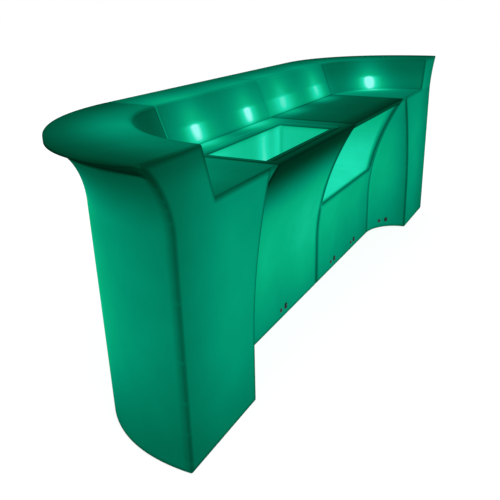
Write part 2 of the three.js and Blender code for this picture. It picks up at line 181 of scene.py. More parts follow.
def mix(start, end, share):
    return start + (end - start) * share


def lip_growth(turns):
    """The lip comes up from nothing at the end face, where the turn is 0."""
    return np.clip(np.sin(turns), 0, 1) ** lip_onset


def lip_foot(turns):
    return ledge_height - lip_thickness * lip_growth(turns)


def outer_reach(height, turns):
    lean = wall_draft * np.clip(height / flare_start, 0, 1)
    rise = np.clip((height - flare_start) / (lip_foot(turns) - flare_start), 0, 1)
    share = 1 - (1 - rise ** 2) ** mix(1, flare_hollow, lip_growth(turns))
    return (
        mix(end_base_half - seam_half + lean, end_top_half - seam_half, share),
        mix(front_wall_depth + lean, ledge_front, share),
        mix(wall_roundness, ledge_roundness, share),
    )


def cove_reach(height, turns):
    rise = np.clip((height - cove_foot) / (shelf_height - cove_foot), 0, None)
    share = 1 - rise ** 2
    along = mix(cove_tip_half, cove_base_half, share) - seam_half
    return along, cove_depth * share, cove_roundness


def backboard_reach(height, turns):
    share = np.clip((height - shelf_height) / (ledge_height - shelf_height), 0, None)
    along = mix(wall_foot_half, wall_top_half, share) - seam_half
    return along, mix(wall_foot_depth, wall_top_depth, share), inner_roundness


def quarter(reach, height, inset, turns):
    """A line round a corner, from the end face at turn 0 to the seam, drawn in by the inset."""
    is_outer = reach is outer_reach
    grow = -inset if is_outer else inset
    along, deep, roundness = reach(height - inset if is_outer else height, turns)
    power = 2 / roundness
    x = seam_half + (along + grow) * np.clip(np.cos(turns), 0, 1) ** power
    y = (deep + grow) * np.clip(np.sin(turns), 0, 1) ** power
    return np.stack([x, y, height + 0 * turns], axis=-1)


def spread(start, end, step):
    """Places from start to end, no further apart than the step."""
    count = max(1, math.ceil(abs(end - start) / step - count_slack))
    return [mix(start, end, place / count) for place in range(count + 1)]


def section_rows(inset, floor, step, turns, stops=()):
    """The closed section at each turn, as rows of places, each with its band and its height."""
    shelf = shelf_height - inset
    ledge = ledge_height - inset
    marks = sorted({floor, cove_foot, flare_start, shelf, *stops})
    lower = [marks[0]]
    for start, end in zip(marks, marks[1:]):
        lower += spread(start, end, step)[1:]
    foot = np.minimum(lip_foot(turns) + inset, ledge)
    crowding = 1 + lip_growth(turns)
    flare = [mix(foot, shelf, (1 - share) ** crowding)
             for share in spread(0, 1, step / (ledge - shelf))]
    upper = [height[0] for height in flare[:-1]] + [ledge]
    ledge_shares = spread(0, 1, step / (ledge_front - wall_top_depth))
    shelf_shares = spread(0, 1, step / wall_foot_depth)

    def line(reach, height):
        return quarter(reach, height, inset, turns)

    rows = [("wall", z, line(outer_reach, z)) for z in lower + flare[1:] + [ledge]]
    rows += [("ledge", ledge, mix(line(outer_reach, ledge), line(backboard_reach, ledge), share))
             for share in ledge_shares[1:]]
    rows += [("backboard", z, line(backboard_reach, z)) for z in upper[-2::-1]]
    rows += [("shelf", shelf, mix(line(cove_reach, shelf), line(backboard_reach, shelf), share))
             for share in shelf_shares[-2::-1]]
    rows += [("cove", z, line(cove_reach, z)) for z in lower[-2::-1]]
    return rows, lower, upper, ledge_shares, shelf_shares


def joined(name, grids):
    """One closed mesh from grids of places: doubles merged, flat ends filled, faces outward."""
    shape = bmesh.new()
    for grid in grids:
        corners = [[shape.verts.new(place) for place in line] for line in grid]
        for near, far in zip(corners, corners[1:]):
            for a, b, c, d in zip(near, near[1:], far[1:], far):
                shape.faces.new((a, b, c, d))
    bmesh.ops.remove_doubles(shape, verts=shape.verts, dist=merge_distance)
    bmesh.ops.dissolve_degenerate(shape, edges=shape.edges, dist=merge_distance)
    bmesh.ops.holes_fill(shape, edges=[edge for edge in shape.edges if edge.is_boundary])
    bmesh.ops.recalc_face_normals(shape, faces=shape.faces)
    mesh = bpy.data.meshes.new(name)
    shape.to_mesh(mesh)
    shape.free()
    return new_object(name, mesh)


def end_form(name, inset, floor, step, corner_steps):
    """A rounded end: the section swept round the corner, with a gridded end face."""
    inner_turns = np.linspace(first_turn, math.pi / 2 - first_turn, corner_steps - 1)
    turns = np.concatenate([[0], inner_turns, [math.pi / 2]])
    rows, lower, upper, ledge_shares, shelf_shares = section_rows(inset, floor, step, turns)
    sweep = np.array([places for _, _, places in rows])

    def face_line(height, turns):
        """From the cove to the line of the backboard's foot, and on to the outer wall."""
        cove = quarter(cove_reach, height, inset, turns)
        foot = quarter(backboard_reach, shelf_height, inset, turns)
        foot[..., 2] = height
        outer = quarter(outer_reach, height, inset, turns)
        line = [mix(cove, foot, share) for share in shelf_shares]
        return line + [mix(foot, outer, share) for share in ledge_shares[1:]]

    def upper_line(height, turns):
        back = quarter(backboard_reach, height, inset, turns)
        outer = quarter(outer_reach, height, inset, turns)
        return [mix(back, outer, share) for share in ledge_shares]

    bottom = np.array(face_line(floor, turns))
    lower_face = np.array([face_line(z, turns[:1]) for z in lower])[:, :, 0]
    upper_face = np.array([upper_line(z, turns[:1]) for z in upper])[:, :, 0]
    grids = [sweep, bottom, lower_face, upper_face]
    if not inset:
        for grid in grids:
            grid[..., 0] = np.maximum(grid[..., 0], seam_half + seam_gap / 2)
    return joined(name, grids)


def pocket_marks(start, stops, end, step):
    """Places across a module, each with how deep a pocket may go there, from 0 to 1."""
    marks = []
    place, depth = start, 0
    for stop, reached in stops:
        marks += [(mark, depth) for mark in spread(place, stop, step)]
        marks += [(stop, share) for share in spread(depth, reached, 1 / pocket_rows)]
        place, depth = stop, reached
    return marks + [(mark, depth) for mark in spread(place, end, step)]


def middle_form(name, side, inset, floor, step):
    """A middle module: the section run along X, with its well or its niche pressed in."""
    is_well = side < 0
    x0, x1 = sorted((side * (seam_gap / 2 + inset), side * (seam_half - seam_gap / 2 - inset)))
    left, right = (well_left, well_right) if is_well else (niche_left, niche_right)
    left, right = left - inset, right + inset
    stops = [(left, 1), (right, 0)]
    rim_share = rim_depth / well_depth
    if is_well and not inset:
        stops = [(left - rim_front_width, rim_share), (left, 1),
                 (right, rim_share), (right + rim_width, 0)]
    marks = pocket_marks(x0, stops, x1, step)
    xs = np.array([place for place, _ in marks])
    depths = np.array([depth for _, depth in marks])
    sill, top = niche_sill - inset, niche_top + inset
    seam_turn = np.array([math.pi / 2])
    rows, *_ = section_rows(inset, floor, step, seam_turn, () if is_well else (sill, top))
    lines = []

    def add_line(y, z):
        lines.append(np.stack([xs, y + 0 * xs, z + 0 * xs], axis=-1))

    for band, height, ((_, y, z),) in rows:
        if is_well and band == "shelf":
            continue
        if not is_well and band == "cove" and sill <= height <= top:
            shares = spread(0, 1, 1 / pocket_rows) if height in (sill, top) else [1]
            for share in shares[::-1] if height == sill else shares:
                add_line(mix(y, niche_back + inset, np.minimum(depths, share)), z)
            continue
        add_line(y, z)
    if is_well:
        last = max(place for place, row in enumerate(r for r in rows if r[0] != "shelf")
                   if row[0] == "backboard")
        lines[last + 1:last + 1] = well_lines(xs, depths, inset, step)
    grid = np.array(lines)
    return joined(name, [np.concatenate([grid, grid[:1]])])


def well_lines(xs, depths, inset, step):
    """The shelf from the backboard's foot to its front edge, with the well pressed into it."""
    shelf = shelf_height - inset
    front, back = well_front - inset, well_back + inset
    stops = [(back, 1), (front, 0)]
    rim_share = rim_depth / well_depth
    if not inset:
        stops = [(back + rim_width, rim_share), (back, 1),
                 (front, rim_share), (front - rim_front_width, 0)]
    foot = wall_foot_depth + inset
    tip = cove_reach(shelf, 0)[1] + inset
    lines = []
    for y, share in pocket_marks(foot, stops, tip, step):
        depth = np.minimum(depths, share)
        forward = (back - y) / (back - front) if front <= y <= back else 0
        lean = forward * (well_foot_front - well_front) * depth
        lines.append(np.stack([xs, y + lean, shelf - well_depth * depth], axis=-1))
    return lines


def settle(target):
    """Turns an object and its modifiers into a plain mesh."""
    shown = target.evaluated_get(bpy.context.evaluated_depsgraph_get())
    mesh = bpy.data.meshes.new_from_object(shown)
    target.modifiers.clear()
    target.data = mesh


def cut(target, tool, operation="DIFFERENCE"):
    step = target.modifiers.new("cut", "BOOLEAN")
    step.solver = "MANIFOLD"
    step.operation = operation
    step.object = tool
    settle(target)
    bpy.data.objects.remove(tool, do_unlink=True)


def prism(name, outline, low, high):
    ring = np.array(outline + outline[:1])
    return joined(name, [[np.column_stack([ring, np.full(len(ring), z)]) for z in (low, high)]])


def box_form(name, x0, x1, y0, y1, z0, z1):
    return prism(name, [(x0, y0), (x1, y0), (x1, y1), (x0, y1)], z0, z1)


def foot_slab(is_end, side, inset, low, high):
    """A level slab that follows a module's foot, for its recess and its opening."""
    if not is_end:
        x0, x1 = sorted((side * (seam_gap / 2 + inset), side * (seam_half - seam_gap / 2 - inset)))
        return box_form("slab", x0, x1, cove_depth + inset, front_wall_depth - inset, low, high)
    turns = np.linspace(0, math.pi / 2, slab_steps)
    out = quarter(outer_reach, 0, inset, turns)
    back = quarter(cove_reach, 0, inset, turns[::-1])
    slab = prism("slab", [(x, y) for x, y, _ in [*out, *back]], low, high)
    edge = seam_half + max(inset, seam_gap / 2)
    keep = box_form("keep", edge, end_top_half, inset, ledge_front, low, high)
    cut(slab, keep, "INTERSECT")
    return slab


def lip_measure(places):
    """How far out each place is in plan: 1 on the ledge's edge, less inside it."""
    along = np.maximum(np.abs(places[:, 0]) - seam_half, 0) / (end_top_half - seam_half)
    deep = np.maximum(places[:, 1], 0) / ledge_front
    return along ** ledge_roundness + deep ** ledge_roundness


def is_on_rim(place):
    """Whether a place is on the outer edge of the shallow rim round the well's mouth."""
    low = abs(place.z - shelf_height + rim_depth / 2) < rim_depth
    clear = (place.x < well_left - rim_front_width / 2 or place.x > well_right + rim_width / 2
             or place.y > well_back + rim_width / 2)
    within = (well_left - rim_width < place.x < well_right + 1.5 * rim_width
              and well_front / 2 < place.y < well_back + 1.5 * rim_width)
    return low and clear and within


def soften_edges(target):
    """Rounds every moulded edge as far as the faces beside it leave room, and gives back places
    along those edges. The foot of the lip stays crisper."""
    shape = bmesh.new()
    shape.from_mesh(target.data)
    weight = shape.edges.layers.float.new("bevel_weight_edge")
    sharp = {edge for edge in shape.edges
             if edge.is_manifold and edge.calc_face_angle() > sharp_angle}
    corners = {vertex for edge in sharp for vertex in edge.verts}
    room = {}
    for vertex in corners:
        lengths = [edge.calc_length()
                   * (shared_room if edge.other_vert(vertex) in corners else own_room)
                   for edge in vertex.link_edges if edge not in sharp]
        room[vertex] = min(lengths, default=moulded_radius)
    marks = []
    for edge in sharp:
        near, far = edge.verts
        middle = (near.co + far.co) / 2
        width = min(1, min(room[near], room[far]) / moulded_radius)
        below = shelf_height + lip_thickness < middle.z < ledge_height - merge_distance
        if below and lip_measure(np.array([middle]))[0] > lip_edge_measure and near.co.y > 0:
            width *= lip_foot_softness
        edge[weight] = width
        if not is_on_rim(middle):
            marks += [near.co.copy(), middle]
    shape.to_mesh(target.data)
    shape.free()
    step = target.modifiers.new("moulded edges", "BEVEL")
    step.limit_method = "WEIGHT"
    step.width = moulded_radius
    step.segments = moulded_segments
    step.use_clamp_overlap = False
    settle(target)
    return marks


def shell(name, is_end, side):
    """A finished shell: the outside with soft edges, less its hollow and its underside."""
    floor = plate_recess + shell_wall
    if is_end:
        made = end_form(name, 0, 0, fine_step, fine_turns)
        hollow = end_form("hollow", shell_wall, floor, coarse_step, coarse_turns)
        edge = seam_half + shell_wall
        keep = box_form("keep", edge, end_top_half, shell_wall, ledge_front, 0, ledge_height)
        cut(hollow, keep, "INTERSECT")
    else:
        made = middle_form(name, side, 0, 0, fine_step)
        hollow = middle_form("hollow", side, shell_wall, floor, coarse_step)
    marks = soften_edges(made)
    cut(made, hollow)
    turn = side if is_end else 1
    slab_side = 1 if is_end else side
    cut(made, foot_slab(is_end, slab_side, shell_wall, -overrun, plate_recess))
    cut(made, foot_slab(is_end, slab_side, shell_wall + flange_width, -overrun, floor + overrun))
    place = np.empty(len(made.data.vertices) * 3)
    made.data.vertices.foreach_get("co", place)
    place = np.maximum(place.reshape(-1, 3), (-np.inf, 0, -np.inf)) * (turn, 1, 1)
    made.data.vertices.foreach_set("co", place.ravel())
    if turn < 0:
        made.data.flip_normals()
    return made, np.array(marks) * (turn, 1, 1)


shells = {
    "left_end": shell("left_end_moulding", True, -1),
    "left_centre": shell("left_centre_moulding", False, -1),
    "right_centre": shell("right_centre_moulding", False, 1),
    "right_end": shell("right_end_moulding", True, 1),
}


# The round holes in the shells: one for each switch and socket, with a flat spot for its
# collar, one for each stud that holds two modules together, and one for each plate screw.
screw_hole_radius = 0.0029
control_height = 0.050
control_spacing = 0.052
control_places = {"left_centre": -0.445, "right_centre": 0.250, "right_outer": 0.605}
control_modules = {"right_outer": "right_centre"}
barrel_radius = 0.009
spot_radius = 0.021
spot_margin = 1.2
stud_radius = 0.004
stud_gap = 0.0005
strap_depth = 0.590
stud_heights = (0.340, 1.005)
rod_sides = 32


def control_frame(x, y, out):
    """Where a switch or a socket sits: X is level, Y is up, Z points out of the wall."""
    out = Vector(out).normalized()
    level = Vector((-out.y, out.x, 0))
    turned = Matrix((level, (0, 0, 1), out)).transposed().to_4x4()
    return Matrix.Translation((x, y, control_height)) @ turned


def end_frame(side, turn):
    along, deep = cove_base_half - seam_half, cove_depth
    x, y = along * math.cos(turn), deep * math.sin(turn)
    return control_frame(side * (seam_half + x), y, (-side * x / along ** 2, -y / deep ** 2, 0))


def control_frames():
    """The frames of each unit's switch and socket."""
    frames = {}
    for unit, x in control_places.items():
        frames[unit] = [control_frame(x + way * control_spacing / 2, cove_depth, (0, -1, 0))
                        for way in (-1, 1)]
    half = control_spacing / (cove_base_half - seam_half + cove_depth)
    for unit, side in (("left_end", -1), ("right_end", 1)):
        frames[unit] = [end_frame(side, math.pi / 4 + way * side * half) for way in (1, -1)]
    return frames


def screw_places(name):
    """Screws run down the middle of the flange under each shell."""
    inset = shell_wall + flange_width / 2
    side = -1 if name.startswith("left") else 1
    if name.endswith("centre"):
        edges = [seam_gap / 2 + inset, seam_half / 2, seam_half - seam_gap / 2 - inset]
        rows = (cove_depth + inset, front_wall_depth - inset)
        return [(side * x, y) for x in edges for y in rows]
    turns = np.array([0, math.pi / 4, math.pi / 2])
    out = quarter(outer_reach, 0, inset, turns)
    back = quarter(cove_reach, 0, inset, turns)
    places = [(out[0][0], inset), (out[1][0], out[1][1]), (seam_half + inset, out[2][1]),
              (seam_half + inset, back[2][1]), (back[1][0], back[1][1]), (back[0][0], inset)]
    return [(side * x, y) for x, y in places]


def ring(radius, height, sides=rod_sides):
    turns = np.linspace(0, 2 * math.pi, sides + 1)
    return np.column_stack([radius * np.cos(turns), radius * np.sin(turns), 0 * turns + height])


def moved(grid, frame):
    flat = np.asarray(grid).reshape(-1, 3)
    matrix = np.array(frame)
    return (flat @ matrix[:3, :3].T + matrix[:3, 3]).reshape(np.shape(grid))


def bores(name):
    """All the cutting rods of one shell."""
    reach = shell_wall + overrun
    grids = []
    for unit, (switch, socket) in control_frames().items():
        if control_modules.get(unit, unit) == name:
            for frame in (switch, socket):
                hole = barrel_radius + fit_gap
                grids.append(moved([ring(hole, -reach), ring(hole, 0), ring(spot_radius, 0),
                                    ring(spot_radius, overrun)], frame))
    lay = Matrix.Rotation(math.pi / 2, 4, "Y")
    for seam in (-seam_half, 0, seam_half):
        for height in stud_heights:
            place = Matrix.Translation((seam, strap_depth, height)) @ lay
            radius = stud_radius + stud_gap
            grids.append(moved([ring(radius, -reach), ring(radius, reach)], place))
    for x, y in screw_places(name):
        place = Matrix.Translation((x, y, 0))
        low, high = plate_recess - overrun, plate_recess + shell_wall + overrun
        grids.append(moved([ring(screw_hole_radius, z) for z in (low, high)], place))
    return joined("bores", grids)


for name, (made, _) in shells.items():
    cut(made, bores(name))


# The light in the plastic: strips of lights stand upright inside, close behind the backboard
# and behind each end face. Light falls on the inner side of every wall, so a wall that faces
# away from the tubes, such as the lip and the top of the cove, stays nearly black.
# Its fall with distance is set here, with what is scattered about in each module's hollow.
tube_names = ("left_end", "left_outer", "left_inner", "right_inner", "right_outer", "right_end")
tube_samples = 24
tube_foot = 0.12
light_reach = 0.11
wall_gain = 0.062
scattered = {"left_end": 0.075, "left_centre": 0.085, "right_centre": 0.11, "right_end": 0.12}

# What tells the ledge, the shelf, the cove and the end face from the other walls.
level_normal = 0.75
shelf_margin = 0.02
cove_margin = 0.001
face_margin = 0.012
ledge_middle_along, ledge_middle_deep = 0.64, 0.6

# The ledge, which gets less toward its rim, the flare and the lip.
ledge_gain = 0.42
rim_share, rim_reach = 0.45, 0.3
flare_shade, flare_end = 0.1, ledge_height - 1.4 * lip_thickness
lip_shade = 0.85
lip_under = (ledge_height - 1.35 * lip_thickness, ledge_height - 1.05 * lip_thickness)
lip_bright = 0.7
lip_rounding = (ledge_height - 0.8 * lip_thickness, ledge_height)

# The backboard and the shelf, which catches some of the strokes at the backboard's foot.
backboard_limit = 0.42
backboard_gain = {"left_end": 1.05, "left_centre": 1.4, "right_centre": 1.6, "right_end": 1.6}
shelf_share = {"left_end": 0.9, "left_centre": 0.6, "right_centre": 0.36, "right_end": 1.0}
shelf_front_shade, shelf_front_width = 0.5, 0.12
spill_width, spill_onset = 0.15, 0.7

# The stroke before each tube: its width, and a gain for its core and for the halo round it.
strokes = {"left_end": (0.024, 0.1, 0.1), "left_outer": (0.026, 0.22, 0.4),
           "left_inner": (0.026, 0.24, 0.4), "right_inner": (0.05, 0.0, 0.25),
           "right_outer": (0.036, 0.04, 0.23), "right_end": (0.024, 0.5, 0.5)}
halo_widening = 2.8
core_heights, halo_heights, stroke_top = (0.885, 0.985), (0.82, 0.97), (0.985, 1.0)
out_of_sight = 1

# Plastic is thicker on its moulded edges and at the seams and lets less light through, so the glow
# is painted darker there, as painted shade, and they show as dark lines.
edge_shade = 0.32
edge_width = 0.021
seam_width = 0.040
inner_edge_share = 0.35
edge_share = {"left_end": 1, "left_centre": 1, "right_centre": 0.85, "right_end": 0.72}


def tube_lights():
    """Places up each light tube that stand for its strip of lights, before the set-back."""
    places = []
    for name in tube_names:
        low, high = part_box(name + "_light_core")
        centre = (low + high) / 2
        for z in np.linspace(tube_foot, high.z, tube_samples):
            places.append((centre.x, centre.y - server_side, z))
    return np.array(places), (high.z - tube_foot) / (tube_samples - 1)


def smooth(low, high, value):
    share = np.clip((value - low) / (high - low), 0, 1)
    return share * share * (3 - 2 * share)


def peak(distance, width):
    return np.exp(-(distance / width) ** 2)


def scaled(values, where, factor):
    return values * np.where(where, factor, 1)


def nearness_to_edges(places, marks):
    """1 on a moulded edge, falling to 0 where the edge's thicker plastic ends: how much of the
    painted edge shade falls on each place.
    """
    tree = KDTree(len(marks))
    for number, mark in enumerate(marks):
        tree.insert(mark, number)
    tree.balance()
    away = np.array([tree.find(place)[2] for place in places])
    return 1 - smooth(0, edge_width, away)


def surface(places, normals):
    """Where each place lies on its module: on the ledge, the shelf, the end face, the inside
    wall that the server sees or the outside, and how far it is behind the cove's line."""
    at = SimpleNamespace()
    at.x, at.y, at.z = places.T
    at.past_seam = np.maximum(np.abs(at.x) - seam_half, 0)
    at.out = (at.past_seam / ledge_middle_along) ** 2 + (at.y / ledge_middle_deep) ** 2
    at.level = normals[:, 2] > level_normal
    at.on_ledge = at.level & (at.z > ledge_height - lip_thickness)
    at.on_shelf = at.level & (np.abs(at.z - shelf_height) < shelf_margin)
    at.on_face = at.y < face_margin
    at.above_shelf = at.z > shelf_height
    at.inside = ~at.level & (at.out < 1) & at.above_shelf & ~at.on_face
    at.outside = ~at.level & (at.out > 1) & (at.y > face_margin)
    rise = np.maximum(at.z - cove_foot, 0) / (shelf_height - cove_foot)
    at.behind_cove = at.y - cove_depth * (1 - rise ** 2) - moulded_radius
    at.from_rim = 1 - lip_measure(places) ** (1 / ledge_roundness)
    at.to_backboard = np.hypot(at.past_seam / (wall_foot_half - seam_half),
                               at.y / wall_foot_depth)
    return at


def from_tubes(places, normals):
    """The light on the inner side of the wall at each place: each light that it faces counts
    by its distance."""
    lights, spacing = tube_lights()
    total = np.zeros(len(places))
    for light in lights:
        way = light - places
        squared = (way ** 2).sum(axis=1)
        facing = np.maximum(0, -(way * normals).sum(axis=1) / np.sqrt(squared))
        total += facing / (squared + light_reach ** 2)
    return wall_gain * total * spacing


def on_ledge_and_lip(light, at):
    """The ledge gets little light, and least at its rim. The flare and the lip's underside turn
    away from the tubes."""
    rim = mix(rim_share, 1, smooth(0, rim_reach, at.from_rim))
    light = np.where(at.on_ledge, ledge_gain * np.sqrt(light) * rim, light)
    light = scaled(light, at.outside, 1 - flare_shade * smooth(flare_start, flare_end, at.z))
    rounded = 1 - lip_bright * smooth(*lip_rounding, at.z)
    return scaled(light, at.outside, 1 - lip_shade * smooth(*lip_under, at.z) * rounded)


def beside_tube(at, tube_x, tube_y):
    """How far each place lies to the side of a tube, along the wall in front of it."""
    if abs(tube_x) < seam_half:
        return at.x - tube_x
    past_seam = abs(tube_x) - seam_half
    turns = np.arctan2(at.y, np.maximum(at.x * np.sign(tube_x) - seam_half, 0))
    along = (turns - math.atan2(tube_y, past_seam)) * math.hypot(tube_y, past_seam)
    return np.where(at.x * tube_x > 0, along, out_of_sight)


def tube_strokes(at):
    """The bright stroke on the backboard before each tube, and what it throws on the shelf."""
    stroke = np.zeros(len(at.x))
    spill = np.zeros(len(at.x))
    lights, _ = tube_lights()
    for name, (tube_x, tube_y, _) in zip(tube_names, lights[::tube_samples]):
        beside = beside_tube(at, tube_x, tube_y)
        width, core_gain, halo_gain = strokes[name]
        core = core_gain * peak(beside, width) * smooth(*core_heights, at.z)
        halo = halo_gain * peak(beside, halo_widening * width) * smooth(*halo_heights, at.z)
        stroke += (core + halo) * (1 - smooth(*stroke_top, at.z))
        spill += halo_gain * peak(beside, spill_width)
    return stroke, spill


def left_end_light(light, edges, at):
    """Darker low down, round its back, on the ledge near the seam and at the face's top."""
    back_shade, back_depths, back_heights = 0.17, (0.15, 0.45), (0.8, 0.9)
    foot_shade, foot_heights = 0.2, (0.1, 0.5)
    seam_shade, seam_span = 0.22, (-1.25, -0.95)
    face_shade, face_heights = 0.3, (0.98, 1.08)
    back = smooth(*back_depths, at.y) * (1 - smooth(*back_heights, at.z))
    light = scaled(light, at.outside, 1 - back_shade * back)
    light = scaled(light, at.outside, 1 - foot_shade * (1 - smooth(*foot_heights, at.z)))
    light = scaled(light, at.on_ledge, 1 - seam_shade * smooth(*seam_span, at.x))
    face = 1 - face_shade * smooth(*face_heights, at.z)
    return scaled(light, at.on_face & at.above_shelf, face), edges


def left_centre_light(light, edges, at):
    """The well glows, more before the tubes. Its rim and the top of the cove stay dark."""
    ledge_rise, ledge_span = 0.3, (-0.9, -0.2)
    around, behind = 0.002, 0.012
    well_light, well_even, well_edges, rim_limit = 0.3, 0.62, 0.3, 0.3
    glows = ((well_left, 0.16, 0.22), (well_right - 0.19, 0.06, 0.26),
             (well_right - 0.03, 0.05, 0.14))
    cove_gain, cove_shade, cove_heights = 1.14, 0.99, (0.6, 0.88)
    light = scaled(light, at.on_ledge, 1 + ledge_rise * (1 - smooth(*ledge_span, at.x)))
    in_well = (
        (at.x > well_left - around) & (at.x < well_right + around)
        & (at.z > shelf_height - well_depth - around)
        & (at.z < shelf_height - rim_depth - around)
        & (at.behind_cove > behind) & (at.y < well_back + around)
    )
    glow = sum(gain * peak(at.x - place, width) for place, width, gain in glows)
    light = np.where(in_well, well_light + well_even * at.even + glow, light)
    on_rim = ~at.level & ~at.inside & (np.abs(shelf_height - rim_depth / 2 - at.z) < rim_depth)
    light = np.where(on_rim, np.minimum(light, rim_limit), light)
    cove = cove_gain - cove_shade * smooth(*cove_heights, at.z)
    light = scaled(light, ~at.level & (at.behind_cove < behind), cove)
    return light, scaled(edges, in_well, well_edges)


def right_centre_light(light, edges, at):
    """The niche glows evenly, less toward its top, and the strip above it stays dark."""
    around, mouth_depth = 0.004, 0.03
    sill_light, rise_shade = 0.72, 0.32
    edge_loss, sill_edges, above_share = 0.93, 0.6, 0.4
    in_niche = (
        (at.x > niche_left - around) & (at.x < niche_right + around)
        & (at.z > niche_sill - around) & (at.z < niche_top + around)
        & (at.behind_cove > 0) & (at.y < niche_back + around)
    )
    deep = smooth(0, mouth_depth, at.behind_cove)
    bright = sill_light - rise_shade * smooth(niche_sill, niche_top, at.z)
    light = np.where(in_niche, mix(light, bright, deep), light)
    above = ~at.level & (at.behind_cove < 0) & (at.z > niche_top)
    edges = scaled(edges, in_niche, 1 - edge_loss * deep)
    edges = scaled(edges, np.abs(at.z - niche_sill) < edge_width, sill_edges)
    return scaled(light, above, above_share), edges


def right_end_light(light, edges, at):
    """Brighter in its cove and on its face, darker along its ledge and high on its inside."""
    ledge_shade, ledge_span = 0.3, (0.95, 1.4)
    inside_shade, inside_heights = 0.25, (0.95, 1.06)
    cove_gain, cove_out, face_gain = 1.3, 0.7, 1.25
    light = scaled(light, at.on_ledge, 1 - ledge_shade * smooth(*ledge_span, at.x))
    light = scaled(light, at.inside, 1 - inside_shade * smooth(*inside_heights, at.z))
    in_cove = (at.out < cove_out) & (at.z < shelf_height) & ~at.level & ~at.on_face
    light = scaled(light, in_cove, cove_gain)
    return scaled(light, at.on_face & at.above_shelf, face_gain), edges


module_lights = {"left_end": left_end_light, "left_centre": left_centre_light,
                 "right_centre": right_centre_light, "right_end": right_end_light}


def light_reaching(name, places, normals, marks):
    """How brightly each place of a shell glows, from 0 to 1."""
    at = surface(places, normals)
    light = np.hypot(from_tubes(places, normals), scattered[name])
    light = on_ledge_and_lip(light, at)
    at.even = backboard_limit * (1 - np.exp(-light / backboard_limit)) * backboard_gain[name]
    stroke, spill = tube_strokes(at)
    light = np.where(at.inside, at.even + stroke, light)
    at_front = (1 - smooth(0, shelf_front_width, at.y)) * (np.abs(at.x) < seam_half)
    light = scaled(light, at.on_shelf, shelf_share[name] * (1 - shelf_front_shade * at_front))
    light += np.where(at.on_shelf, spill * smooth(spill_onset, 1, at.to_backboard), 0)
    edges = scaled(nearness_to_edges(places, marks), at.inside | at.on_ledge, inner_edge_share)
    edges *= edge_share[name]
    # Painted shade along the seams of the middle modules, below the shelf.
    if name.endswith("centre"):
        from_seam = seam_half / 2 - np.abs(np.abs(at.x) - seam_half / 2)
        below = ~at.level & (at.z < shelf_height) & (at.y < cove_depth + cove_margin)
        edges = np.maximum(edges, np.where(below, 1 - smooth(0, seam_width, from_seam), 0))
    light, edges = module_lights[name](light, edges, at)
    return light * mix(1, edge_shade, edges)


def unbored(places, normals):
    """The normals, with those round the switches' and sockets' holes set to the plain wall's."""
    for frames in control_frames().values():
        for frame in frames:
            away = np.linalg.norm(places - np.array(frame.translation), axis=1)
            at_hole = (away < spot_margin * spot_radius)[:, None]
            normals = np.where(at_hole, np.array(frame.col[2].to_3d()), normals)
    return normals


def paint_light(name, made, marks):
    mesh = made.data
    count = len(mesh.vertices)
    places = np.empty(count * 3)
    mesh.vertices.foreach_get("co", places)
    normals = np.empty(count * 3)
    mesh.vertex_normals.foreach_get("vector", normals)
    places, normals = places.reshape(-1, 3), normals.reshape(-1, 3)
    light = light_reaching(name, places, unbored(places, normals), marks)
    attribute = mesh.attributes.new("light", "FLOAT", "POINT")
    attribute.data.foreach_set("value", light.astype(np.float32))
    mesh.shade_smooth()
    mesh.set_sharp_from_angle(angle=shading_angle)


def linear(colour):
    """A hex colour as Blender's linear red, green and blue, with full alpha."""
    channels = [int(colour[place:place + 2], 16) / 255 for place in (1, 3, 5)]
    return [c / 12.92 if c <= 0.04045 else ((c + 0.055) / 1.055) ** 2.4 for c in channels] + [1]


def add_node(tree, kind, settings=None, feeds=None, **inputs):
    """Adds one node with its settings. Each input is fed with a value or with the output of
    another node."""
    node = tree.nodes.new(kind)
    for key, value in (settings or {}).items():
        setattr(node, key, value)
    for key, value in inputs.items():
        node.inputs[key.replace("_", " ")].default_value = value
    for key, feed in (feeds or {}).items():
        if isinstance(feed, bpy.types.NodeSocket):
            tree.links.new(feed, node.inputs[key])
        else:
            node.inputs[key].default_value = feed
    return node


def new_material(name):
    material = bpy.data.materials.new(name)
    material.use_nodes = True
    material.node_tree.nodes.clear()
    return material, material.node_tree


def set_stops(ramp, colours):
    """Gives a colour ramp its places and colours."""
    stops = ramp.color_ramp.elements
    while len(stops) < len(colours):
        stops.new(1)
    for stop, (place, colour) in zip(stops, colours):
        stop.position = place
        stop.color = linear(colour)


# Polyethylene, rotation-moulded and lit from inside: a milky skin that runs from black-green,
# where no light is behind it, to pale mint before a tube. Its wall varies in thickness over
# about 140 mm, which clouds the glow a little. The mould leaves a fine orange peel of about
# 0.5 mm, too fine to show, so it is drawn at 2.4 mm.
cloud_size, cloud_change = 0.143, 0.045
peel_size, peel_change = 0.0024, 0.025
peel_height, peel_strength = 0.001, 0.12
noise_low, noise_high = 0.3, 0.7
# The skin's own colour is near black green, as it looks with no light behind it: a painted shade
# that keeps the lamps from lightening the painted glow.
unlit_skin = "#020d09"
glow_stops = (
    (0.0, "#00160d"), (0.02, "#002819"), (0.05, "#003f29"), (0.10, "#005a41"),
    (0.27, "#008e6c"), (0.43, "#05af7d"), (0.75, "#1ee1b4"), (1.0, "#96fff5"),
)


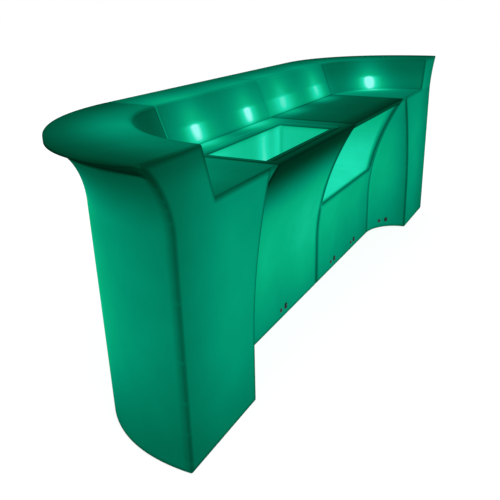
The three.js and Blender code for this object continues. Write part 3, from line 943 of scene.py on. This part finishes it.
def lit_polyethylene():
    material, tree = new_material("lit_polyethylene_rotation_moulded")
    light = add_node(tree, "ShaderNodeAttribute", {"attribute_name": "light"})
    place = add_node(tree, "ShaderNodeTexCoord")
    clouds = add_node(tree, "ShaderNodeTexNoise", feeds={"Vector": place.outputs["Object"]},
                      Scale=1 / cloud_size, Detail=5.0)
    peel = add_node(tree, "ShaderNodeTexNoise", feeds={"Vector": place.outputs["Object"]},
                    Scale=1 / peel_size, Detail=3.0)
    passed = light.outputs["Fac"]
    for noise, change in ((clouds, cloud_change), (peel, peel_change)):
        share = add_node(tree, "ShaderNodeMapRange", feeds={"Value": noise.outputs["Fac"]},
                         From_Min=noise_low, From_Max=noise_high,
                         To_Min=1 - change, To_Max=1 + change)
        passed = add_node(tree, "ShaderNodeMath", {"operation": "MULTIPLY"}, feeds={
            0: passed, 1: share.outputs["Result"]}).outputs["Value"]
    ramp = add_node(tree, "ShaderNodeValToRGB", feeds={"Fac": passed})
    set_stops(ramp, glow_stops)
    bump = add_node(tree, "ShaderNodeBump", feeds={"Height": peel.outputs["Fac"]},
                    Strength=peel_strength, Distance=peel_height)
    shader = add_node(tree, "ShaderNodeBsdfPrincipled", feeds={
        "Normal": bump.outputs["Normal"], "Emission Color": ramp.outputs["Color"]},
        Base_Color=linear(unlit_skin), Roughness=0.5, IOR=1.51, Specular_IOR_Level=0.0,
        Emission_Strength=1.0)
    add_node(tree, "ShaderNodeOutputMaterial", feeds={"Surface": shader.outputs["BSDF"]})
    return material


plastic = lit_polyethylene()
for name, (made, marks) in shells.items():
    paint_light(name, made, marks)
    made.data.transform(Matrix.Translation((0, server_side, 0)))
    made.data.materials.clear()
    made.data.materials.append(plastic)
    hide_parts(name + "_shell")
    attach(made, "bar")


# The base plates close the feet: black polyethylene sheet, sawn to shape, pressed up against a
# ring of foam rubber. Six turned stainless pan-head screws with a hexagon socket hold each one
# to its shell's flange.
plate_thickness = 0.005
seal_thickness = 0.002
plate_bottom = plate_recess - seal_thickness - 2 * fit_gap - plate_thickness
screw_head_radius = 0.00475
screw_head_height = 0.0021
screw_radius = 0.0025
socket_radius = 0.0016
socket_depth = 0.0012
screw_past_flange = 0.004
screw_tip = plate_recess + shell_wall + screw_past_flange
screw_overlap = 0.0004
gloss_change = 0.08
grain_strength = 0.4


def grained(name, dark, light, size, height, roughness, metallic=0.0, ior=1.5, stretch=(1, 1, 1)):
    """A surface whose colour, gloss and height all follow one grain of a size in metres."""
    material, tree = new_material(name)
    place = add_node(tree, "ShaderNodeTexCoord")
    laid = add_node(tree, "ShaderNodeMapping", feeds={"Vector": place.outputs["Object"]},
                    Scale=stretch)
    grain = add_node(tree, "ShaderNodeTexNoise", feeds={"Vector": laid.outputs["Vector"]},
                     Scale=1 / size, Detail=4.0)
    colour = add_node(tree, "ShaderNodeValToRGB", feeds={"Fac": grain.outputs["Fac"]})
    set_stops(colour, ((noise_low, dark), (noise_high, light)))
    gloss = add_node(tree, "ShaderNodeMapRange", feeds={"Value": grain.outputs["Fac"]},
                     To_Min=roughness - gloss_change, To_Max=roughness + gloss_change)
    bump = add_node(tree, "ShaderNodeBump", feeds={"Height": grain.outputs["Fac"]},
                    Strength=grain_strength, Distance=height)
    shader = add_node(tree, "ShaderNodeBsdfPrincipled", feeds={
        "Base Color": colour.outputs["Color"], "Roughness": gloss.outputs["Result"],
        "Normal": bump.outputs["Normal"]}, Metallic=metallic, IOR=ior)
    add_node(tree, "ShaderNodeOutputMaterial", feeds={"Surface": shader.outputs["BSDF"]})
    return material


def dress(material, pieces, kind):
    """Gives the same material to one kind of piece that is carried over from the solids."""
    for piece in pieces:
        for slot in bpy.data.objects[f"{piece}_{kind}"].material_slots:
            slot.material = material


def new_tree(name, sizes):
    """A geometry tree with an input for the geometry and one for each named size."""
    tree = bpy.data.node_groups.new(name, "GeometryNodeTree")
    tree.interface.new_socket("Geometry", in_out="INPUT", socket_type="NodeSocketGeometry")
    tree.interface.new_socket("Geometry", in_out="OUTPUT", socket_type="NodeSocketGeometry")
    identifiers = {}
    for size, value in sizes.items():
        kind = "NodeSocketInt" if isinstance(value, int) else "NodeSocketFloat"
        socket = tree.interface.new_socket(size, in_out="INPUT", socket_type=kind)
        identifiers[size] = socket.identifier
    return tree, identifiers, add_node(tree, "NodeGroupInput")


def finish_tree(tree, geometry, material):
    real = add_node(tree, "GeometryNodeRealizeInstances", feeds={"Geometry": geometry})
    dressed = add_node(tree, "GeometryNodeSetMaterial", feeds={
        "Geometry": real.outputs["Geometry"]}, Material=material)
    add_node(tree, "NodeGroupOutput", feeds={"Geometry": dressed.outputs["Geometry"]})


def grow(name, points, tree, identifiers, sizes):
    """Runs a tree on loose points and leaves one plain mesh that rides on the bar."""
    mesh = bpy.data.meshes.new(name)
    mesh.from_pydata([(x, y + server_side, z) for x, y, z in points], [], [])
    made = new_object(name, mesh)
    modifier = made.modifiers.new(name, "NODES")
    modifier.node_group = tree
    for size, value in sizes.items():
        modifier[identifiers[size]] = value
    settle(made)
    made.data.shade_smooth()
    made.data.set_sharp_from_angle(angle=sharp_angle)
    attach(made, "bar")
    return made


screw_sizes = {"Head Radius": screw_head_radius, "Head Height": screw_head_height,
               "Screw Radius": screw_radius, "Screw Length": screw_tip - plate_bottom,
               "Socket Radius": socket_radius, "Socket Depth": socket_depth,
               "Overlap": screw_overlap, "Seed": 7}
# Stainless steel, turned: a bright grey that the turned grain keeps from being a mirror. The
# tool's lines are 0.1 mm apart, too fine to show, and are drawn at 0.6 mm.
steel = grained("stainless_steel_turned", "#8d9297", "#c3c8cc",
                size=0.0006, height=0.00005, roughness=0.32, metallic=1.0)


def screw_tree():
    """A pan head with a hexagon socket under each point, and its shank above it."""
    tree, identifiers, given = new_tree("plate_screw", screw_sizes)
    size = given.outputs

    def drum(sides, radius, depth, middle):
        """A drum along Z, from its sizes and the height of its middle."""
        made = add_node(tree, "GeometryNodeMeshCylinder", feeds={
            "Radius": size[radius], "Depth": depth}, Vertices=sides)
        place = add_node(tree, "ShaderNodeCombineXYZ", feeds={"Z": middle.outputs["Value"]})
        shifted = add_node(tree, "GeometryNodeTransform", feeds={
            "Geometry": made.outputs["Mesh"], "Translation": place.outputs["Vector"]})
        return shifted.outputs["Geometry"]

    head_middle, head_face, cut_height, half_length = [
        add_node(tree, "ShaderNodeMath", {"operation": "MULTIPLY"}, feeds={0: size[of], 1: share})
        for of, share in (("Head Height", -0.5), ("Head Height", -1.0), ("Socket Depth", 2.0),
                          ("Screw Length", 0.5))]
    head = drum(32, "Head Radius", size["Head Height"], head_middle)
    socket = drum(6, "Socket Radius", cut_height.outputs["Value"], head_face)
    hollowed = add_node(tree, "GeometryNodeMeshBoolean", {"operation": "DIFFERENCE"}, feeds={
        "Mesh 1": head, "Mesh 2": socket})
    shank_middle = add_node(tree, "ShaderNodeMath", {"operation": "SUBTRACT"}, feeds={
        0: half_length.outputs["Value"], 1: size["Overlap"]})
    shank = drum(16, "Screw Radius", size["Screw Length"], shank_middle)
    both = add_node(tree, "GeometryNodeJoinGeometry")
    tree.links.new(hollowed.outputs["Mesh"], both.inputs[0])
    tree.links.new(shank, both.inputs[0])
    turn = add_node(tree, "FunctionNodeRandomValue", {"data_type": "FLOAT"}, feeds={
        "Seed": size["Seed"], "Max": math.pi})
    angle = add_node(tree, "ShaderNodeCombineXYZ", feeds={"Z": turn.outputs["Value"]})
    spread_out = add_node(tree, "GeometryNodeInstanceOnPoints", feeds={
        "Points": size["Geometry"], "Instance": both.outputs["Geometry"],
        "Rotation": angle.outputs["Vector"]})
    finish_tree(tree, spread_out.outputs["Instances"], steel)
    return tree, identifiers


screws = grow("plate_screws", [(x, y, plate_bottom) for name in shells
                               for x, y in screw_places(name)], *screw_tree(), screw_sizes)
# Polyethylene sheet, pressed: near black with a waxy, slightly uneven sheen, whose pebbling
# is about 2 mm across.
sheet = grained("polyethylene_sheet_black", "#16191b", "#272b2e",
                size=0.002, height=0.0001, roughness=0.55, ior=1.51)
dress(sheet, shells, "base_plate")
# Foam rubber, closed cells: matt black, pitted by the cut cells, which are 1.1 mm across.
foam = grained("foam_rubber_closed_cell", "#0e1011", "#1d2021",
               size=0.0011, height=0.0004, roughness=0.9, ior=1.52)
dress(foam, shells, "base_seal")


# The straps: zinc-plated strip with two welded studs each, which pass through both shells at a
# seam. A hexagon nut on each stud pulls the two modules together.
nut_radius = 0.0075
nut_height = 0.0065
nut_bore = 0.0042
nut_places = [(seam + seam_gap / 2 + shell_wall + fit_gap, strap_depth, height)
              for seam in (-seam_half, 0, seam_half) for height in stud_heights]
nut_sizes = {"Nut Radius": nut_radius, "Nut Height": nut_height, "Bore Radius": nut_bore}
# Steel, zinc-plated: pale blue-grey metal with the plating's faint blotches of about 4 mm.
zinc = grained("steel_zinc_plated", "#8f979c", "#c9cfd4",
               size=0.004, height=0.00008, roughness=0.38, metallic=1.0)


def nut_tree():
    """A hexagon nut that lies along X, from each point on."""
    tree, identifiers, given = new_tree("stud_nut", nut_sizes)
    size = given.outputs
    body = add_node(tree, "GeometryNodeMeshCylinder", feeds={
        "Radius": size["Nut Radius"], "Depth": size["Nut Height"]}, Vertices=6)
    bore = add_node(tree, "GeometryNodeMeshCylinder", feeds={
        "Radius": size["Bore Radius"]}, Vertices=24, Depth=4 * nut_height)
    nut = add_node(tree, "GeometryNodeMeshBoolean", {"operation": "DIFFERENCE"}, feeds={
        "Mesh 1": body.outputs["Mesh"], "Mesh 2": bore.outputs["Mesh"]})
    middle = add_node(tree, "ShaderNodeMath", {"operation": "MULTIPLY"}, feeds={
        0: size["Nut Height"], 1: 0.5})
    place = add_node(tree, "ShaderNodeCombineXYZ", feeds={"X": middle.outputs["Value"]})
    laid = add_node(tree, "GeometryNodeTransform", feeds={
        "Geometry": nut.outputs["Mesh"], "Translation": place.outputs["Vector"]},
        Rotation=(0, math.pi / 2, 0))
    spread_out = add_node(tree, "GeometryNodeInstanceOnPoints", feeds={
        "Points": size["Geometry"], "Instance": laid.outputs["Geometry"]})
    finish_tree(tree, spread_out.outputs["Instances"], zinc)
    return tree, identifiers


nuts = grow("stud_nuts", nut_places, *nut_tree(), nut_sizes)
dress(zinc, ("left", "centre", "right"), "seam_strap")


# The light tubes: frosted acrylic tubes with a rounded top, each in a nylon holder. Inside is an
# aluminium bar with a strip of lights on its front and its back.
core_half = 0.007
chip_size = 0.005
chip_height = 0.0015
chip_spacing = 0.0167
chip_margin = 0.012
chip_gap = 0.0001
chip_foot = 0.03
frost_size, frost_height, frost_strength = 0.006, 0.0001, 0.3
chip_sizes = {"Chip Size": chip_size, "Chip Height": chip_height, "Spacing": chip_spacing}


# Acrylic, extruded, frosted by sanding and lit: an even pale mint glow, a little brighter
# before each chip. The frost itself is too fine to show. Its drift from chip to chip is drawn
# at 6 mm.
def lit_acrylic():
    material, tree = new_material("acrylic_tube_frosted")
    place = add_node(tree, "ShaderNodeTexCoord")
    frost = add_node(tree, "ShaderNodeTexNoise", feeds={"Vector": place.outputs["Object"]},
                     Scale=1 / frost_size, Detail=3.0)
    glow = add_node(tree, "ShaderNodeValToRGB", feeds={"Fac": frost.outputs["Fac"]})
    set_stops(glow, ((noise_low, "#86f2d6"), (noise_high, "#c9fff2")))
    bump = add_node(tree, "ShaderNodeBump", feeds={"Height": frost.outputs["Fac"]},
                    Strength=frost_strength, Distance=frost_height)
    shader = add_node(tree, "ShaderNodeBsdfPrincipled", feeds={
        "Emission Color": glow.outputs["Color"], "Normal": bump.outputs["Normal"]},
        Base_Color=linear("#d8fff2"), Roughness=0.45, IOR=1.49, Emission_Strength=1.0)
    add_node(tree, "ShaderNodeOutputMaterial", feeds={"Surface": shader.outputs["BSDF"]})
    return material


def chip_tree(material):
    """A column of small flat lights above each point."""
    tree, identifiers, given = new_tree("light_chip", {**chip_sizes, "Count": 2})
    size = given.outputs
    offset = add_node(tree, "ShaderNodeCombineXYZ", feeds={"Z": size["Spacing"]})
    column = add_node(tree, "GeometryNodeMeshLine", feeds={
        "Count": size["Count"], "Offset": offset.outputs["Vector"]})
    columns = add_node(tree, "GeometryNodeInstanceOnPoints", feeds={
        "Points": size["Geometry"], "Instance": column.outputs["Mesh"]})
    real = add_node(tree, "GeometryNodeRealizeInstances", feeds={
        "Geometry": columns.outputs["Instances"]})
    shape = add_node(tree, "ShaderNodeCombineXYZ", feeds={
        "X": size["Chip Size"], "Y": size["Chip Height"], "Z": size["Chip Size"]})
    chip = add_node(tree, "GeometryNodeMeshCube", feeds={"Size": shape.outputs["Vector"]})
    spread_out = add_node(tree, "GeometryNodeInstanceOnPoints", feeds={
        "Points": real.outputs["Geometry"], "Instance": chip.outputs["Mesh"]})
    finish_tree(tree, spread_out.outputs["Instances"], material)
    return tree, identifiers


chip_points = []
for name in tube_names:
    low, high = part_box(name + "_light_core")
    centre = (low + high) / 2
    for way in (-1, 1):
        away = way * (core_half + chip_gap + chip_height / 2)
        foot = low.z + chip_margin + chip_foot
        chip_points.append((centre.x, centre.y - server_side + away, foot))
chip_count = int((high.z - low.z - 2 * chip_margin - chip_foot) / chip_spacing)
# Phosphor under cast resin: a pale yellow face with a soft shine, mottled over about 2 mm.
phosphor = grained("light_chip_phosphor", "#f6f2cf", "#fffdf0",
                   size=0.002, height=0.00005, roughness=0.4, ior=1.53)
chips = grow("light_chips", chip_points, *chip_tree(phosphor), {**chip_sizes, "Count": chip_count})
dress(lit_acrylic(), tube_names, "light_tube")
# Nylon, moulded: off-white and half matt, with faint flow marks about 3 mm wide.
holder_nylon = grained("nylon_moulded_white", "#d9dbd6", "#eceeea",
                       size=0.003, height=0.0001, roughness=0.5, ior=1.53)
dress(holder_nylon, tube_names, "tube_holder")
# Aluminium, extruded: light grey metal with long draw lines. They are 0.1 to 0.2 mm apart, too
# fine to show, and are drawn at 0.8 mm.
aluminium = grained("aluminium_extruded", "#a9adb1", "#d3d6d9", size=0.0008, height=0.00005,
                    roughness=0.36, metallic=1.0, stretch=(1, 1, 0.02))
dress(aluminium, tube_names, "light_core")


# The battery boxes: sealed cases, moulded in ABS with a fine grain and welded shut round their
# middle. Each one stands on its module's base plate, near the switch that it feeds.
units = ("left_end", "left_centre", "right_centre", "right_outer", "right_end")
# ABS, moulded: dark blue-grey and half matt, with a leather-like grain of 1.5 mm.
battery_abs = grained("abs_moulded_dark_blue", "#18212a", "#2a3641",
                      size=0.0015, height=0.00015, roughness=0.55, ior=1.54)
dress(battery_abs, units, "battery_box")


# The push switches: a moulded nylon barrel with a collar, pressed through the wall from the
# server's side, and a silicone rubber button that slides in its bore against a spring.
collar_radius = 0.012
collar_thickness = 0.0025
collar_face = fit_gap + collar_thickness
barrel_length = 0.024
button_radius = 0.006
button_length = 0.009
button_proud = 0.003
button_travel = 0.002
button_foot = collar_face + button_proud - button_length
button_dish = 0.0007
dish_rim, dish_floor = 0.8, 0.4
moulded_ease = 0.0004
ease_limit = 0.4


def eased(profile, ease=moulded_ease):
    """The profile with each corner taken off a little, as a moulded edge is."""
    points = [Vector(point) for point in profile]
    line = [points[0]]
    for before, corner, after in zip(points, points[1:], points[2:]):
        for other in (before, after):
            way = other - corner
            line.append(corner + way.normalized() * min(ease, ease_limit * way.length))
    return line + [points[-1]]


def turned_piece(name, profile, sides=48):
    return joined(name, [[ring(radius, height, sides) for radius, height in eased(profile)]])


def place_piece(made, material, frame_in, node, body):
    """Sets a finished piece in its frame, in place of the node that it stands for."""
    made.data.transform(Matrix.Translation((0, server_side, 0)) @ frame_in)
    made.data.shade_smooth()
    made.data.set_sharp_from_angle(angle=sharp_angle)
    made.data.materials.clear()
    made.data.materials.append(material)
    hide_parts(node)
    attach(made, body)


barrel_back = collar_face - barrel_length
button_bore = button_radius + fit_gap
bore_floor = button_foot - button_travel - fit_gap
barrel_profile = [(0, barrel_back), (barrel_radius, barrel_back), (barrel_radius, fit_gap),
                  (collar_radius, fit_gap), (collar_radius, collar_face)]
switch_profile = [*barrel_profile, (button_bore, collar_face), (button_bore, bore_floor),
                  (0, bore_floor)]
button_top = collar_face + button_proud
button_profile = [
    (0, button_foot), (button_radius, button_foot), (button_radius, button_top),
    (dish_rim * button_radius, button_top), (dish_floor * button_radius, button_top - button_dish),
    (0, button_top - button_dish),
]
# Nylon, moulded black: near black and half matt, with the green light of the shell's glow painted
# into its colour. The mould's grain is 0.2 mm, too fine to show, and is drawn at 1.2 mm.
nylon = grained("nylon_moulded_black", "#0a1713", "#13241e",
                size=0.0012, height=0.00008, roughness=0.5, ior=1.53)
# Silicone rubber, moulded grey: softer and slightly lighter than the collar round it, with the
# green light of the shell's glow painted into its colour. Its grain of 0.1 mm is too fine to show,
# and is drawn at 1 mm.
button_rubber = grained("silicone_moulded_grey", "#1f2f2a", "#2b3d37",
                        size=0.001, height=0.00005, roughness=0.55, ior=1.41)
for unit, (switch, _) in control_frames().items():
    body = turned_piece(unit + "_switch", switch_profile)
    place_piece(body, nylon, switch, unit + "_switch_body", "bar")
    button = turned_piece(unit + "_button", button_profile)
    node = unit + "_push_button"
    place_piece(button, button_rubber, switch, node, node)


# The charging sockets: a moulded nylon barrel with a deep round jack and a centre pin, pressed
# through the wall beside the switch. A moulded rubber flap hangs on two stubs between the
# socket's ears and covers the jack.
jack_radius = 0.005
jack_depth = 0.014
pin_radius = 0.0012
flap_radius = 0.011
flap_thickness = 0.003
flap_axis_up = 0.0145
flap_rib = 0.0005
rib_shares = (0.75, 0.7, 0.6, 0.55)
knuckle_radius = 0.0022
knuckle_length = 0.009
stub_radius = 0.0011
ear_thickness = 0.0024
ear_height = 0.006
ear_place = knuckle_length / 2 + fit_gap
ear_end = ear_place + ear_thickness
flap_face = collar_face + fit_gap
flap_top = flap_face + flap_thickness
axis_out = flap_face + flap_thickness / 2
jack_floor = collar_face - jack_depth
socket_profile = [*barrel_profile, (jack_radius, collar_face), (jack_radius, jack_floor),
                  (pin_radius, jack_floor), (pin_radius, fit_gap), (0, fit_gap)]
rib = [(share * flap_radius, flap_top + height)
       for share, height in zip(rib_shares, (0, flap_rib, flap_rib, 0))]
flap_profile = [(0, flap_face), (flap_radius, flap_face), (flap_radius, flap_top), *rib,
                (0, flap_top)]


def sideways_rod(radius, half):
    lay = Matrix.Translation((0, flap_axis_up, axis_out)) @ Matrix.Rotation(math.pi / 2, 4, "Y")
    return joined("rod", [moved([ring(radius, -half), ring(radius, half)], lay)])


def charge_socket(name):
    made = turned_piece(name, socket_profile)
    low, high = flap_axis_up - ear_height / 2, flap_axis_up + ear_height / 2
    for side in (-1, 1):
        near, far = sorted((side * ear_place, side * ear_end))
        ear = box_form("ear", near, far, low, high, fit_gap, axis_out + ear_height / 2)
        cut(made, ear, "UNION")
    joiner_top = axis_out - knuckle_radius - fit_gap
    joiner = box_form("joiner", -ear_end, ear_end, barrel_radius, high, fit_gap, joiner_top)
    cut(made, joiner, "UNION")
    cut(made, sideways_rod(stub_radius + fit_gap, ear_end + overrun))
    return made


def charge_flap(name):
    made = turned_piece(name, flap_profile)
    half = knuckle_length / 2
    cut(made, box_form("tongue", -half, half, 0, flap_axis_up, flap_face, flap_top), "UNION")
    cut(made, sideways_rod(knuckle_radius, half), "UNION")
    cut(made, sideways_rod(stub_radius, ear_end), "UNION")
    return made


# Synthetic rubber, moulded black: darker and more matt than the nylon beside it, with the green
# light of the shell's glow painted into its colour. Its grain of 0.1 mm is too fine to show, and
# is drawn at 0.9 mm.
flap_rubber = grained("rubber_moulded_black", "#07110e", "#101d19",
                      size=0.0009, height=0.00008, roughness=0.85, ior=1.52)
for unit, (_, socket) in control_frames().items():
    place_piece(charge_socket(unit + "_socket"), nylon, socket, unit + "_charge_socket",
                "bar")
    node = unit + "_charge_flap"
    place_piece(charge_flap(unit + "_flap"), flap_rubber, socket, node, node)


# The room: a matt white floor under a plain white surround, with two soft lamps from above. The
# floor shows white to the camera, in metal and through the tubes, and takes the bar's shadow.
floor_half = 30
floor_drop = 0.0005
floor_paint, floor_glow = "#a6a6a6", "#ebebeb"
surround_light, surround_seen = 0.5, 1.0
lamp_aim = (0, 0, 0.5)
lamp_size = 4.0


def seen_rays(tree):
    """1 for the rays that the camera sees directly, in a mirror or through glass."""
    rays = add_node(tree, "ShaderNodeLightPath")
    clear = add_node(tree, "ShaderNodeMath", {"operation": "MAXIMUM"}, feeds={
        0: rays.outputs["Is Glossy Ray"], 1: rays.outputs["Is Transmission Ray"]})
    seen = add_node(tree, "ShaderNodeMath", {"operation": "MAXIMUM"}, feeds={
        0: rays.outputs["Is Camera Ray"], 1: clear.outputs[0]})
    return seen.outputs[0]


# Matt paint: plain white, with a soft grey shadow under the bar.
def white_floor():
    material, tree = new_material("floor_paint_matt_white")
    diffuse = add_node(tree, "ShaderNodeBsdfDiffuse", Color=linear(floor_paint))
    glow = add_node(tree, "ShaderNodeEmission", feeds={"Strength": seen_rays(tree)},
                    Color=linear(floor_glow))
    both = add_node(tree, "ShaderNodeAddShader", feeds={0: diffuse.outputs[0],
                                                        1: glow.outputs[0]})
    add_node(tree, "ShaderNodeOutputMaterial", feeds={"Surface": both.outputs["Shader"]})
    return material


corners = [(-floor_half, -floor_half), (floor_half, -floor_half),
           (floor_half, floor_half), (-floor_half, floor_half)]
floor_mesh = bpy.data.meshes.new("floor")
floor_mesh.from_pydata([(x, y, -floor_drop) for x, y in corners], [], [(0, 1, 2, 3)])
floor_mesh.materials.append(white_floor())
floor = new_object("floor", floor_mesh)

world = bpy.data.worlds.new("surround")
bpy.context.scene.world = world
world.use_nodes = True
world.node_tree.nodes.clear()
strength = add_node(world.node_tree, "ShaderNodeMapRange", feeds={
    "Value": seen_rays(world.node_tree)}, To_Min=surround_light, To_Max=surround_seen)
surround = add_node(world.node_tree, "ShaderNodeBackground", feeds={
    "Strength": strength.outputs["Result"]}, Color=(1, 1, 1, 1))
add_node(world.node_tree, "ShaderNodeOutputWorld", feeds={
    "Surface": surround.outputs["Background"]})


def soft_lamp(name, place, watts):
    data = bpy.data.lights.new(name, "AREA")
    data.size = lamp_size
    data.energy = watts
    lamp = new_object(name, data)
    lamp.location = place
    lamp.rotation_euler = (Vector(lamp_aim) - Vector(place)).to_track_quat("-Z", "Y").to_euler()


soft_lamp("front_lamp", (-3.5, -4.0, 4.5), watts=110)
soft_lamp("back_lamp", (3.0, 4.5, 4.5), watts=80)

bpy.context.scene.view_settings.view_transform = "Standard"
